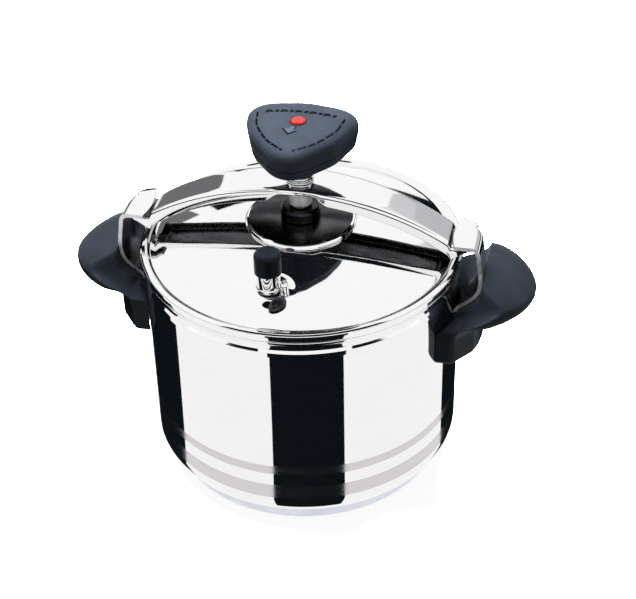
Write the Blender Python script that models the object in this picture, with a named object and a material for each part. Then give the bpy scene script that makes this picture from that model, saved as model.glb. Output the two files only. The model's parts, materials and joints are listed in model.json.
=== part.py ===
"""Stovetop pressure cooker: a steel pot with a sandwich base, a domed lid on a gasket, and a sprung bow
whose ends sit under two hooks. Turning the knob screws the spindle against the lid and pulls the bow tight.
Metres, +Z up. The origin is the centre of the base's underside, and the bow lies along X."""

from math import atan2, cos, hypot, pi, radians, sin, sqrt

import bmesh
import bpy

MM = 0.001

# Pot
WALL_R = 112.0 * MM
WALL_T = 1.0 * MM
POT_FLOOR_Z = 7.5 * MM
CORNER_R = 18.0 * MM
RIM_Z = 168.5 * MM
BASE_R = 101.0 * MM
BASE_SHEET = 0.8 * MM
GAP = 0.3 * MM

# Lid: a dome whose height falls with the square of the radius, with one flat pressed pad for the valves
LID_TOP_Z = 192.7 * MM
LID_FALL = 1 / (564 * MM)
LID_T = 1.2 * MM
PAD_X, PAD_Y = -2.5 * MM, -76.3 * MM
PAD_FLAT_R, PAD_BLEND_R = 13.0 * MM, 20.0 * MM
PLATE_R = 39.0 * MM

# Clamp
SPINDLE_R = 5.9 * MM
FOOT_TOP_Z = 215.0 * MM
BUSH_BOTTOM_Z = 219.5 * MM
BOW_TOP_Z = 223.7 * MM
BOW_ARCH_R = 192.0 * MM
BOW_T = 2.5 * MM
BOW_ARCH_X = 105.0 * MM
BOW_FLAT_X = 107.6 * MM
BOW_END_X = 122.7 * MM
BOW_END_Z = 188.5 * MM
HOOK_T = 2.8 * MM
HOOK_FRONT_Y, HOOK_BACK_Y = -17.5 * MM, 8.5 * MM

# Knob
KNOB_R = 36.8 * MM
KNOB_CORNER, KNOB_TIP = 0.12, 0.03
BUTTON_R = 5.3 * MM

# Valves
VALVE_X, VALVE_Y = -5.8 * MM, -75.5 * MM
VALVE_R = 8.1 * MM
SAFETY_X, SAFETY_Y = 5.7 * MM, -78.7 * MM
PLUG_X, PLUG_Y, PLUG_TURN = 3.0 * MM, -88.8 * MM, radians(40)

LARGE_STEPS, MIDDLE_STEPS, SMALL_STEPS = 44, 20, 14


def clear_scene():
    for obj in list(bpy.data.objects):
        bpy.data.objects.remove(obj)


def material(name, colour, metallic, roughness):
    made = bpy.data.materials.new(name)
    made.use_nodes = True
    shader = made.node_tree.nodes["Principled BSDF"]
    shader.inputs["Base Color"].default_value = (*colour, 1)
    shader.inputs["Metallic"].default_value = metallic
    shader.inputs["Roughness"].default_value = roughness
    made.diffuse_color = (*colour, 1)
    return made


def build(name, points, faces, look, origin=(0, 0, 0), turn=0.0, smooth=True):
    """An object from points placed about its origin, its faces all turned outwards."""
    mesh = bpy.data.meshes.new(name)
    mesh.from_pydata(points, [], faces)
    shape = bmesh.new()
    shape.from_mesh(mesh)
    bmesh.ops.recalc_face_normals(shape, faces=shape.faces)
    for face in shape.faces:
        face.smooth = smooth
    for edge in shape.edges:
        edge.smooth = len(edge.link_faces) == 2 and edge.calc_face_angle(0) < radians(40)
    shape.to_mesh(mesh)
    shape.free()
    obj = bpy.data.objects.new(name, mesh)
    bpy.context.scene.collection.objects.link(obj)
    obj.location = origin
    obj.rotation_euler = (0, 0, turn)
    if look:
        mesh.materials.append(look)
    return obj


def joined_rings(rings, loop=False, poles=True):
    """Points and faces that join each ring to the next. A ring of one point is a pole; other ends get caps."""
    points, starts = [], []
    for ring in rings:
        starts.append(len(points))
        points += ring
    faces = []
    pairs = list(zip(range(len(rings)), range(1, len(rings))))
    if loop:
        pairs.append((len(rings) - 1, 0))
    for low, high in pairs:
        a, b = starts[low], starts[high]
        size_a, size_b = len(rings[low]), len(rings[high])
        size = max(size_a, size_b)
        for i in range(size):
            j = (i + 1) % size
            if size_a == 1:
                faces.append((a, b + i, b + j))
            elif size_b == 1:
                faces.append((a + i, a + j, b))
            else:
                faces.append((a + i, a + j, b + j, b + i))
    if poles and not loop:
        for index in (0, -1):
            if len(rings[index]) > 1:
                faces.append(tuple(starts[index] + i for i in range(len(rings[index]))))
    return points, faces


def circle(radius, z, steps, start=0.0):
    if radius < 1e-6:
        return [(0, 0, z)]
    angles = (start + 2 * pi * i / steps for i in range(steps))
    return [(radius * cos(a), radius * sin(a), z) for a in angles]


def turned(name, profile, look, steps=SMALL_STEPS, at=(0, 0), loop=True, base_z=None):
    """A body turned about Z from (radius, z) points: a closed ring with loop, else ending on the axis."""
    z0 = profile[0][1] if base_z is None else base_z
    rings = [circle(r, z - z0, steps) for r, z in profile]
    points, faces = joined_rings(rings, loop=loop)
    return build(name, points, faces, look, origin=(*at, z0))


def sleeve(name, inner, outer, low, high, look, steps=SMALL_STEPS, at=(0, 0)):
    return turned(name, [(inner, low), (outer, low), (outer, high), (inner, high)], look, steps, at)


def cutter(name, radius, low, high, at, steps=SMALL_STEPS):
    tool = turned(name, [(0, low), (radius, low), (radius, high), (0, high)], None, steps, at, loop=False)
    hide(tool)
    return tool


def hide(tool):
    tool.hide_render = True
    tool.display_type = "WIRE"


def boolean(obj, tool, operation="DIFFERENCE"):
    change = obj.modifiers.new(tool.name, "BOOLEAN")
    change.operation = operation
    change.solver = "EXACT"
    change.object = tool


def smoothstep(value):
    value = min(max(value, 0), 1)
    return value * value * (3 - 2 * value)


def scaled(points):
    return [(a * MM, b * MM) for a, b in points]


# ---------------------------------------------------------------- pot


def pot(steel):
    corner = []
    flat_r = WALL_R - CORNER_R
    for i in range(6):
        a = i / 5 * pi / 2
        corner.append((flat_r + CORNER_R * sin(a), POT_FLOOR_Z + CORNER_R * (1 - cos(a))))
    outside = [(0, POT_FLOOR_Z)] + corner
    outside += scaled([(112, 155.2), (111.5, 157.6), (110.6, 159.8), (110.6, 163.4)])
    outside += scaled([(112.5, 164.7), (113.4, 165.9), (113.4, 167.3)])
    rim = [(112.2 * MM, RIM_Z), (110.4 * MM, 168.1 * MM), (109.5 * MM, 166.6 * MM)]
    inside = scaled([(109.5, 160.6), (110.5, 157.4), (111.0, 154.8)])
    floor_z = POT_FLOOR_Z + WALL_T
    inner_corner = []
    for a in (pi / 2, 1.1, 0.62, 0):
        turn_r = CORNER_R - WALL_T
        inner_corner.append((flat_r + turn_r * sin(a), floor_z + turn_r * (1 - cos(a))))
    inner_corner.append((0, floor_z))
    return turned("pot_body", outside + rim + inside + inner_corner, steel, LARGE_STEPS, loop=False, base_z=0)


def base(steel, aluminium):
    lip_z = POT_FLOOR_Z + 0.7 * MM
    inner = BASE_R - BASE_SHEET
    cap = [(0, 0), (BASE_R - 3 * MM, 0), (BASE_R - 1.2 * MM, 0.7 * MM), (BASE_R, 2.4 * MM), (BASE_R, lip_z)]
    cap += [(inner, lip_z), (inner, 2.4 * MM), (inner - 2 * MM, BASE_SHEET), (0, BASE_SHEET)]
    turned("base_cap", cap, steel, LARGE_STEPS, loop=False)
    low = BASE_SHEET + GAP
    core_r = inner - GAP
    core = [(0, low), (core_r - 2.4 * MM, low), (core_r, 3.2 * MM), (core_r, 7.0 * MM), (0, 7.2 * MM)]
    turned("base_core", core, aluminium, LARGE_STEPS, loop=False)


# Centre line of the hook bracket from its hooked edge down to the pot wall, as (distance from axis, height)
HOOK_LINE = scaled(
    [(114.5, 190.4), (120.9, 190.4), (123.9, 189.9), (125.9, 188.3), (126.9, 185.6), (127.6, 180), (128.5, 174)]
    + [(129.2, 167.5), (129.2, 162), (128.3, 157), (126.1, 152.3), (122.6, 147.9), (118.4, 144), (115.3, 140.9)]
    + [(114.0, 138), (113.7, 134.5), (113.7, 123), (113.7, 112.5)]
)
WRAP_FULL_Z, WRAP_NONE_Z = 138 * MM, 152 * MM

# The hook's plate in plan, as (distance from axis, y): rounded at the back corner, cut square at the front
HOOK_PLATE_BACK = scaled(
    [(121.5, 8.0), (123.6, 13.2), (121.4, 16.6), (118.2, 19.2), (114.4, 20.9), (110.9, 21.4)]
)
HOOK_PLATE_EDGE = scaled([(109.0, 9.1), (107.9, 0), (108.5, -9), (110.4, -17.5), (121.5, -17.5)])
HOOK_PLATE_LEVELS = [(189.0, 0.6), (189.6, 0), (190.4, 0.2), (191.2, 0.9), (191.8, 2.2)]
HOOK_CORNER_X, HOOK_CORNER_R, HOOK_CORNER_Y = 110 * MM, 18 * MM, 21.4 * MM


def wrapped(x, y, z):
    """x moved in so that what lies on the pot wall follows its curve, fading out above the wall's contact."""
    share = 1 - smoothstep((z - WRAP_FULL_Z) / (WRAP_NONE_Z - WRAP_FULL_Z))
    return x - share * (WALL_R - sqrt(WALL_R**2 - y**2))


def offset_line(line, distance):
    """The line moved sideways, positive away from the pot."""
    moved = []
    for i, (x, z) in enumerate(line):
        x0, z0 = line[max(i - 1, 0)]
        x1, z1 = line[min(i + 1, len(line) - 1)]
        length = hypot(x1 - x0, z1 - z0)
        moved.append((x - distance * (z1 - z0) / length, z + distance * (x1 - x0) / length))
    return moved


def spread(low, high, count):
    return [low + (high - low) * i / (count - 1) for i in range(count)]


def side_loft(name, outline, widths, side):
    """An (x, z) outline carried across Y and wrapped on the pot wall; side is -1 for left and 1 for right."""
    rings = [[(side * wrapped(x, y, z), y, z) for x, z in outline] for y in widths]
    points, faces = joined_rings(rings)
    return build(name, points, faces, None)


def corner_step(y, z):
    """How far the bracket's wall steps in towards its rounded back corner; none low down behind the handle."""
    if y <= 0:
        return 0
    share = smoothstep((z - 150 * MM) / (15 * MM))
    return share * HOOK_CORNER_R * (1 - sqrt(1 - (y / HOOK_CORNER_Y) ** 2))


def hook_bracket(name, side, steel):
    outer, inner = offset_line(HOOK_LINE, HOOK_T / 2), offset_line(HOOK_LINE, -HOOK_T / 2)
    outline = outer + inner[::-1]
    rings = []
    for y in spread(HOOK_FRONT_Y, HOOK_BACK_Y, 9):
        rings.append([(side * (wrapped(x, y, z) - corner_step(y, z)), y, z) for x, z in outline])
    points, faces = joined_rings(rings)
    obj = build(name, points, faces, steel)
    boolean(obj, hook_plate(name + "_plate", side), "UNION")
    screw_hole(name + "_hole", obj, side)


def hook_plate(name, side):
    """The flat of the hook, whose bent edge runs on round the back corner."""
    rings = []
    for z, inset in HOOK_PLATE_LEVELS:
        ring = []
        for x, y in HOOK_PLATE_BACK:
            length = hypot(x - HOOK_CORNER_X, y)
            keep = 1 - inset * MM / length
            ring.append((side * (HOOK_CORNER_X + (x - HOOK_CORNER_X) * keep), y * keep, z * MM))
        ring += [(side * x, y, z * MM) for x, y in HOOK_PLATE_EDGE]
        rings.append(ring)
    plate = build(name, *joined_rings(rings), None)
    hide(plate)
    return plate


SCREW_Z = 123 * MM
SCREW_R = 2.4 * MM


def screw_hole(name, obj, side, radius=SCREW_R + GAP, low=100 * MM, high=140 * MM):
    tool = cutter(name, radius, low, high, (0, 0))
    lay_along_x(tool, side)
    boolean(obj, tool)


def lay_along_x(obj, side):
    """Turns a body built along Z at the axis so that its height is measured outwards along X at the screw."""
    height = obj.location.z
    obj.rotation_euler = (0, side * pi / 2, 0)
    obj.location = (side * height, 0, SCREW_Z)


# Wing sections: distance from axis, half-width, top, underside. The first two lie inside the leg's shoulder.
WING = [
    (98, 43.0, 152.0, 122.0), (112, 44.4, 159.0, 126.5), (124, 44.9, 165.2, 133.1), (131, 45.6, 164.6, 135.2),
    (136, 45.2, 163.8, 136.7), (142, 42.6, 162.2, 138.6), (148, 38.5, 160.3, 140.5), (153, 33.7, 158.4, 142.1),
    (158, 27.4, 156.2, 143.6), (162, 20.4, 154.2, 145.1), (165, 12.5, 152.5, 146.7), (166.6, 5.3, 151.2, 147.8),
]
# Leg sections: height, inset of the whole outline
LEG = [(110.0, 3.2), (110.9, 1.2), (112.6, 0.2), (115.5, 0), (130, -0.4), (135, -2.2), (139, -4.4), (147, -4.4)]
LEG_PLAN = [(92, 44.7), (113.7, 44.7), (115.8, 43.4), (127.6, 28.2), (130.4, 20), (131.7, 10), (132, 0)]
LEG_HALF_W = 44.7
WING_POINTS, WING_POWER = 26, 2.7
SLOPE_FOOT_X, SLOPE_FOOT_Z = 115.0, 137.7


def under_slope(x, y, z):
    """z, lowered in front of the bracket where the handle's top slopes down to the pot wall. All in millimetres."""
    slope = 2.0 - 1.42 * smoothstep((-y - 16) / 24)
    above = z - (SLOPE_FOOT_Z + slope * max(x - SLOPE_FOOT_X, 0))
    blend = 5.0
    if above < -blend:
        return z
    lowered = above if above > blend else (above + blend) ** 2 / (4 * blend)
    return z - lowered * smoothstep((-y - 14) / 10)


def signed_power(value, power):
    return abs(value) ** power * (1 if value >= 0 else -1)


def wing_ring(x, half_width, top, under, side):
    middle, half = (top + under) / 2, (top - under) / 2
    ring = []
    for i in range(WING_POINTS):
        a = 2 * pi * i / WING_POINTS
        y = half_width * signed_power(cos(a), 2 / WING_POWER)
        z = middle + half * signed_power(sin(a), 2 / WING_POWER)
        ring.append((side * x * MM, y * MM, under_slope(x, y, z) * MM))
    return ring


def leg_ring(z, inset, side):
    plan = LEG_PLAN + [(x, -y) for x, y in LEG_PLAN[-2::-1]]
    ring = []
    for x, y in plan:
        x -= inset * max(x - 100, 0) / 30
        y *= 1 - max(inset, -0.4) / LEG_HALF_W
        ring.append((side * x * MM, y * MM, under_slope(x, y, z) * MM))
    return ring


def handle(name, side, plastic):
    points, faces = joined_rings([wing_ring(*section, side) for section in WING])
    obj = build(name, points, faces, plastic)
    points, faces = joined_rings([leg_ring(*section, side) for section in LEG])
    leg = build(name + "_leg_shape", points, faces, None)
    hide(leg)
    boolean(obj, leg, "UNION")

    # Room for the pot wall and the bracket: the wall's over the whole width, the strap's in the middle only
    plate_face = offset_line(HOOK_LINE, HOOK_T / 2 + GAP)
    low_x, low_z, top_z, back_x = WALL_R + GAP * 1.5, 95 * MM, 190 * MM, 80 * MM
    room = [p for p in plate_face if 138.5 * MM < p[1] < 170 * MM]
    room = [(room[0][0], top_z)] + room + [(low_x, 136 * MM), (low_x, low_z), (back_x, low_z), (back_x, top_z)]
    clearance = side_loft(name + "_wall_room", room, spread(-50 * MM, 50 * MM, 17), side)
    hide(clearance)
    boolean(obj, clearance)
    slot = [p for p in plate_face if 112 * MM < p[1] < 147 * MM]
    slot = slot[:-1] + [(slot[-1][0], 112.1 * MM), (100 * MM, 112.1 * MM), (100 * MM, slot[0][1])]
    widths = spread(HOOK_FRONT_Y - GAP, HOOK_BACK_Y + GAP, 9)
    pocket = side_loft(name + "_plate_pocket", slot, widths, side)
    hide(pocket)
    boolean(obj, pocket)
    screw_hole(name + "_screw_hole", obj, side)
    screw_hole(name + "_head_recess", obj, side, 6.0 * MM, 124 * MM, 140 * MM)


def handle_screw(name, side, steel):
    low, head_x = WALL_R + 0.8 * MM, 125.6 * MM
    profile = [(0, low), (SCREW_R, low), (SCREW_R, head_x), (4.4 * MM, head_x), (4.4 * MM, head_x + 1.2 * MM)]
    profile += [(3.2 * MM, head_x + 2.5 * MM), (1.9 * MM, head_x + 2.9 * MM), (1.9 * MM, head_x + 1.3 * MM)]
    profile += [(0, head_x + 1.3 * MM)]
    obj = turned(name, profile, steel, 18, loop=False)
    lay_along_x(obj, side)


def handle_washer(name, side, steel):
    obj = sleeve(name, SCREW_R + GAP, 5.4 * MM, 124.3 * MM, 125.3 * MM, steel, 18)
    lay_along_x(obj, side)


# ---------------------------------------------------------------- lid


def lid_height(x, y):
    """Height of the lid's upper face: the dome, pressed flat at the valves."""
    dome = LID_TOP_Z - LID_FALL * (x * x + y * y)
    flat = LID_TOP_Z - LID_FALL * (PAD_X**2 + PAD_Y**2)
    away = hypot(x - PAD_X, y - PAD_Y)
    share = 1 - smoothstep((away - PAD_FLAT_R) / (PAD_BLEND_R - PAD_FLAT_R))
    return dome + share * (flat - dome)


DOME_RADII = [r * MM for r in (9.3, 39, 56, 63.5, 70, 76.5, 83, 89.5, 97, 105.5)]
LID_EDGE = scaled(
    [(107.4, 172.9), (108.9, 174.0), (110.6, 174.6), (112.4, 174.5), (113.7, 173.7), (114.2, 172.2)]
)
LID_SKIRT = scaled(
    [(114.2, 169.1), (113.3, 168.9), (113.1, 171.8), (112.0, 172.9), (109.6, 172.9), (107.9, 171.8)]
)


def lid_angles():
    """Steps round the lid, finer across the valve pad."""
    middle = atan2(PAD_Y, PAD_X)
    fine, count, coarse = radians(18), 8, 34
    angles = [middle - fine + 2 * fine * i / count for i in range(count)]
    return angles + [middle + fine + (2 * pi - 2 * fine) * i / coarse for i in range(coarse)]


def lid(steel):
    angles = lid_angles()
    rings = []
    for r in DOME_RADII:
        rings.append([(r * cos(a), r * sin(a), lid_height(r * cos(a), r * sin(a))) for a in angles])
    for r, z in LID_EDGE + LID_SKIRT:
        rings.append([(r * cos(a), r * sin(a), z) for a in angles])
    for r in DOME_RADII[::-1]:
        rings.append([(r * cos(a), r * sin(a), lid_height(r * cos(a), r * sin(a)) - LID_T) for a in angles])
    points, faces = joined_rings(rings, loop=True)
    obj = build("lid_shell", points, faces, steel)
    low, high = 160 * MM, 200 * MM
    boolean(obj, cutter("valve_hole", 5.0 * MM, low, high, (VALVE_X, VALVE_Y)))
    boolean(obj, cutter("safety_hole", 2.2 * MM, low, high, (SAFETY_X, SAFETY_Y), 12))
    boolean(obj, cutter("plug_hole", 2.6 * MM, low, high, (PLUG_X, PLUG_Y), 12))


def gasket(rubber):
    ring = [(108.9, 168.8), (112.2, 168.8), (112.2, 171.4), (111.4, 172.4), (109.9, 172.4), (108.9, 171.4)]
    turned("lid_gasket", scaled(ring), rubber, LARGE_STEPS)


def lid_plate(steel):
    def over_dome(r):
        return LID_TOP_Z - LID_FALL * r * r + GAP

    top = 194.3 * MM
    profile = [(9.3 * MM, over_dome(9.3 * MM)), (PLATE_R, over_dome(PLATE_R)), (PLATE_R, 191.3 * MM)]
    profile += [(37.9 * MM, 193.0 * MM), (36.6 * MM, 193.35 * MM), (24 * MM, 194.0 * MM), (9.3 * MM, top)]
    turned("lid_centre_plate", profile, steel, 40)


def spindle_seat(steel):
    inner = 5.4 * MM
    profile = scaled([(9.0, 180.0), (9.0, 194.7), (13.4, 194.7), (14.0, 195.3), (14.0, 201.4), (12.6, 203.4)])
    turned("spindle_seat", [(inner, 180 * MM)] + profile + [(inner, 203.4 * MM)], steel, MIDDLE_STEPS)
    hexagon_nut("seat_nut", 9.3 * MM, 14.0 * MM, 184.2 * MM, 190.6 * MM, steel, (0, 0))


def hexagon_nut(name, inner, corner, low, high, look, at):
    count = 24
    flat = corner * cos(pi / 6)

    def side(a):
        return flat / cos((a + pi / 6) % (pi / 3) - pi / 6)

    angles = [2 * pi * i / count for i in range(count)]
    outer = [[(side(a) * cos(a), side(a) * sin(a), z) for a in angles] for z in (0, high - low)]
    inside = [circle(inner, z, count) for z in (high - low, 0)]
    points, faces = joined_rings(outer + inside, loop=True)
    build(name, points, faces, look, origin=(*at, low))


# ---------------------------------------------------------------- spindle and knob


def spindle(steel, bronze):
    bore = 1.9 * MM
    profile = [(bore, 176.5 * MM)] + scaled([(5.1, 176.5), (5.1, 178.0), (4.2, 178.0), (4.2, 179.7)])
    profile += scaled([(5.1, 179.7), (5.1, 204.9), (8.0, 204.9), (8.0, 212.6), (8.8, 213.0), (8.8, 215.0)])
    profile += [(SPINDLE_R, FOOT_TOP_Z), (SPINDLE_R, 256.2 * MM), (bore, 256.2 * MM)]
    turned("spindle", profile, steel, MIDDLE_STEPS)
    sleeve("thrust_washer", 5.4 * MM, 7.7 * MM, 203.7 * MM, 204.6 * MM, bronze, MIDDLE_STEPS)
    sleeve("spindle_retaining_ring", 4.5 * MM, 8.0 * MM, 178.3 * MM, 179.4 * MM, steel, MIDDLE_STEPS)


def knob_radius(angle):
    """Three rounded corners at 30, 150 and 270 degrees, with sides that swell a little between them."""
    third = 3 * (angle - radians(30))
    return KNOB_R * (1 + KNOB_CORNER * cos(third) + KNOB_TIP * cos(2 * third))


# Knob levels: height, share of the outline's size, share of roundness, radius of the round
KNOB_LEVELS = [
    (229.0, 0, 1, 10.2), (234.4, 0, 1, 10.9), (236.4, 0.42, 0.75, 13), (239.2, 0.56, 0.3, 14),
    (243.0, 0.76, 0.1, 14), (246.2, 0.92, 0, 14), (247.8, 0.955, 0, 14), (252.2, 0.972, 0, 14),
    (252.8, 0.952, 0, 14), (253.4, 0.985, 0, 14), (259.2, 1, 0, 14), (263.6, 0.965, 0, 14),
    (266.2, 0.885, 0, 14), (267.7, 0.76, 0, 14), (268.3, 0.55, 0, 14), (268.8, 0, 1, 6.2),
]
KNOB_BORE = [(5.7, 268.6), (5.7, 257.2), (8.3, 256.9), (8.3, 229.0)]
KNOB_STEPS = 30


def knob(plastic, steel):
    base_z = 229.0
    angles = [2 * pi * i / KNOB_STEPS for i in range(KNOB_STEPS)]
    rings = []
    for z, size, roundness, radius in KNOB_LEVELS:
        ring = []
        for a in angles:
            r = (1 - roundness) * size * knob_radius(a) + roundness * radius * MM
            ring.append((r * cos(a), r * sin(a), (z - base_z) * MM))
        rings.append(ring)
    rings += [circle(r * MM, (z - base_z) * MM, KNOB_STEPS) for r, z in KNOB_BORE]
    points, faces = joined_rings(rings, loop=True)
    build("knob_body", points, faces, plastic, origin=(0, 0, base_z * MM))
    sleeve("knob_insert", 6.2 * MM, 8.0 * MM, 229.3 * MM, 256.5 * MM, steel, MIDDLE_STEPS)


def indicator(red, steel, rubber):
    button = [(0, 257.8), (5.0, 257.8), (BUTTON_R / MM, 258.2), (BUTTON_R / MM, 268.8)]
    button += [(4.7, 269.6), (3.2, 270.3), (1.6, 270.65), (0, 270.75)]
    turned("indicator_button", scaled(button), red, 24, loop=False)
    rod = scaled([(0, 167.2), (3.0, 167.2), (3.0, 168.6), (1.5, 168.6), (1.5, 257.5), (0, 257.5)])
    turned("indicator_rod", rod, steel, 16, loop=False)
    sleeve("indicator_seal", 1.8 * MM, 4.0 * MM, 168.9 * MM, 171.8 * MM, rubber, 20)


# ---------------------------------------------------------------- bow


def bow_top(x):
    """Height of the bow's upper face: an arch that steps down to a level tongue at each end."""
    x = abs(x)
    arch_z = BOW_TOP_Z - BOW_ARCH_R + sqrt(BOW_ARCH_R**2 - min(x, BOW_ARCH_X) ** 2)
    return arch_z + (BOW_END_Z - arch_z) * smoothstep((x - BOW_ARCH_X) / (BOW_FLAT_X - BOW_ARCH_X))


def bow_half_width(x):
    """Half-width of the bow, with the tongue's end rounded in plan."""
    rounding, loss = 5.0 * MM, 6.0 * MM
    width = 16.5 * MM - 2.9 * MM * (min(abs(x), BOW_FLAT_X) / BOW_FLAT_X) ** 2
    over = max(abs(x) - (BOW_END_X - rounding), 0) / rounding
    return width - loss * (1 - sqrt(max(1 - over * over, 0)))


def bow_web(x):
    """Thickness of the bow's web measured straight down, greater where the web is steep."""
    along = min(abs(x), BOW_ARCH_X)
    slope = along / sqrt(BOW_ARCH_R**2 - along**2)
    middle, half = (BOW_ARCH_X + BOW_FLAT_X) / 2, (BOW_FLAT_X - BOW_ARCH_X) / 2
    step = max(1 - abs(abs(x) - middle) / half, 0)
    if abs(x) > BOW_ARCH_X:
        slope *= max(1 - (abs(x) - BOW_ARCH_X) / (BOW_FLAT_X - BOW_ARCH_X), 0)
    return BOW_T * (sqrt(1 + slope * slope) + 0.6 * step)


def bow_depth(x):
    """Depth of the folded sides: shallow at the spindle, deepest before the ends, none at the tongue's tip."""
    x = abs(x) / MM
    depth = 3.6 + 5.9 * smoothstep((x - 11) / 12) + 1.2 * smoothstep((x - 85) / 20)
    return depth - 7.1 * smoothstep((x - 105) / 15)


BOW_STATIONS = [0, 11, 14, 17, 20, 23, 34, 45, 56, 67, 78, 89, 98, 105, 105.9, 106.7, 107.6]
BOW_STATIONS += [112, 117.7, 120.2, 121.7, 122.4, 122.7]


def bow(steel):
    fold = 2.6 * MM
    stations = [-x * MM for x in BOW_STATIONS[:0:-1]] + [x * MM for x in BOW_STATIONS]
    rings = []
    for x in stations:
        web = bow_web(x)
        half, depth, top = bow_half_width(x), max(bow_depth(x) * MM, web + 0.5 * MM), bow_top(x)
        inner_fold = min(0.5 * fold, (depth - web) / 2)
        bend = 0.29 * fold
        flange = half - BOW_T
        right = [(half - fold, 0), (half - bend, -bend), (half, -fold), (half, -depth), (flange, -depth)]
        right += [(flange, -web - inner_fold), (flange - inner_fold, -web)]
        outline = right + [(-y, z) for y, z in right[::-1]]
        rings.append([(x, y, z - (BOW_TOP_Z - top)) for y, z in outline])
    points, faces = joined_rings(rings)
    obj = build("bow", points, faces, steel, origin=(0, 0, BOW_TOP_Z))
    boolean(obj, cutter("bow_hole", 7.3 * MM, 210 * MM, 230 * MM, (0, 0), MIDDLE_STEPS))


def bow_bush(steel):
    outside = scaled([(9.0, 219.5), (9.0, 220.8), (7.0, 220.8), (7.0, 227.9), (6.6, 228.3), (6.2, 228.3)])
    turned("bow_bush", [(6.2 * MM, BUSH_BOTTOM_Z)] + outside, steel, MIDDLE_STEPS)
    sleeve("bow_retaining_ring", 7.3 * MM, 9.6 * MM, 224.0 * MM, 225.1 * MM, steel, MIDDLE_STEPS)


# ---------------------------------------------------------------- valves


def working_valve(steel, plastic, rubber):
    at = (VALVE_X, VALVE_Y)
    sleeve("valve_gasket", 5.0 * MM, 8.0 * MM, 182.75 * MM, 183.6 * MM, rubber, 20, at)
    outside = scaled([(4.6, 172.0), (4.6, 183.9), (8.6, 183.9), (8.6, 186.0), (8.1, 186.5)])
    outside += [(VALVE_R, 200.9 * MM)]
    inside = scaled([(5.6, 200.9), (5.6, 188.6), (1.3, 187.4), (1.3, 172.0)])
    turned("valve_housing", outside + inside, steel, MIDDLE_STEPS, at)
    hexagon_nut("valve_nut", 4.9 * MM, 8.0 * MM, 174.6 * MM, 179.6 * MM, steel, at)
    needle = [(0, 185.4), (1.0, 187.6), (1.9, 188.9), (4.9, 189.8), (4.9, 191.6), (1.6, 191.9)]
    needle += [(1.6, 196.0), (0, 196.6)]
    turned("valve_needle", scaled(needle), steel, SMALL_STEPS, at, loop=False)
    hollow = [(0, 207.6), (8.4, 207.6), (8.4, 197.0)]
    cap = hollow + [(9.2, 197.4), (9.3, 207.8), (8.9, 210.2), (7.9, 212.1)]
    cap += [(6.2, 213.2), (3.4, 213.6), (0, 213.7)]
    turned("valve_cap", scaled(cap), plastic, MIDDLE_STEPS, at, loop=False, base_z=197.0 * MM)
    coil("valve_spring", 3.6 * MM, 0.45 * MM, 192.7 * MM, 206.8 * MM, 5, steel, at)


def coil(name, radius, wire, low, high, turns, look, at):
    sides, per_turn = 4, 10
    rings = []
    for i in range(turns * per_turn + 1):
        a = 2 * pi * i / per_turn
        z = (high - low - 2 * wire) * i / (turns * per_turn) + wire
        ring = []
        for j in range(sides):
            b = 2 * pi * j / sides
            r = radius + wire * cos(b)
            ring.append((r * cos(a), r * sin(a), z + wire * sin(b)))
        rings.append(ring)
    points, faces = joined_rings(rings)
    build(name, points, faces, look, origin=(*at, low))


def safety_valve(steel):
    at = (SAFETY_X, SAFETY_Y)
    body = [(1.9, 176.0), (1.9, 182.75), (3.1, 182.75), (3.1, 184.2), (2.8, 184.5), (2.8, 190.6)]
    body += [(2.3, 192.2), (1.4, 192.6), (1.4, 178.0), (0.7, 177.0), (0.7, 176.0)]
    turned("safety_valve_body", scaled(body), steel, 18, at)
    pin = scaled([(0, 178.6), (1.1, 178.8), (1.1, 193.4), (0.7, 194.0), (0, 194.2)])
    turned("safety_pin", pin, steel, 12, at, loop=False)


def safety_plug(rubber):
    """A soft oval plug pressed through the lid: a domed bead above, a stem and a flange below."""
    surface = lid_height(PLUG_X, PLUG_Y)
    below = ((-6.0, 1.2), (-5.6, 3.1), (-3.8, 3.1), (-3.5, 2.1))
    rings = [circle(r * MM, z * MM, SMALL_STEPS) for z, r in below]
    bead = ((0.93, 0.9), (1, 1.3), (0.97, 2.0), (0.8, 2.9), (0.5, 3.5))
    above = [(2.1, 2.1, 0.9)] + [(6.6 * share, 3.7 * share, z) for share, z in bead]
    for length, width, height in above:
        ring = []
        for x, y, z in circle(1, height * MM, SMALL_STEPS):
            x, y = length * MM * x, width * MM * y
            world_x = PLUG_X + x * cos(PLUG_TURN) - y * sin(PLUG_TURN)
            world_y = PLUG_Y + x * sin(PLUG_TURN) + y * cos(PLUG_TURN)
            ring.append((x, y, z + lid_height(world_x, world_y) - surface))
        rings.append(ring)
    rings.append([(0, 0, 3.7 * MM)])
    points, faces = joined_rings(rings)
    build("safety_plug", points, faces, rubber, origin=(PLUG_X, PLUG_Y, surface), turn=PLUG_TURN)


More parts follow.
